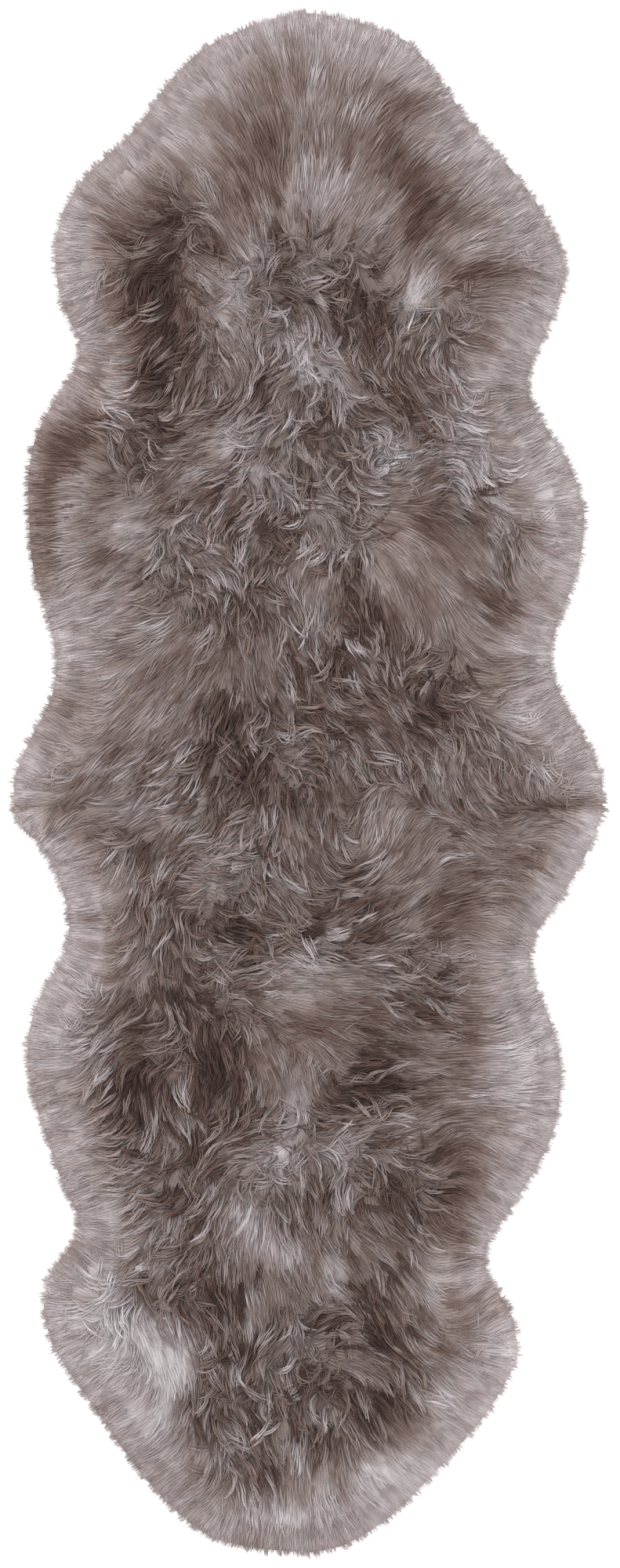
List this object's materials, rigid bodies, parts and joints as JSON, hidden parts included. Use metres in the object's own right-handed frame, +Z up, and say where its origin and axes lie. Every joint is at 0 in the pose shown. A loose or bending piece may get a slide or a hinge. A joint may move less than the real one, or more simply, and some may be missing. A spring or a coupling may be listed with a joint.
{
  "type": "double sheepskin rug",
  "caption": "Long double sheepskin rug lying flat: hides sewn end to end, with a thick, lumpy wool fleece that droops to the floor in locks all round a wavy outline.",
  "frame": {"origin": "on the floor, below the centre of the rug's box", "axes": "+Z up out of the wool, +Y along the spine from the lower pelt to the upper one, +X to the right seen from above"},
  "size_m": [0.6892, 1.7948, 0.0565],
  "materials": {
    "hide_leather": "tanned hide, sueded flesh side",
    "fleece_wool": "long taupe wool with silvery tips"
  },
  "bodies": {
    "root": {"hide_upper": "hide_leather", "hide_lower": "hide_leather", "fleece_upper": "fleece_wool", "fleece_lower": "fleece_wool"}
  },
  "joints": []
}
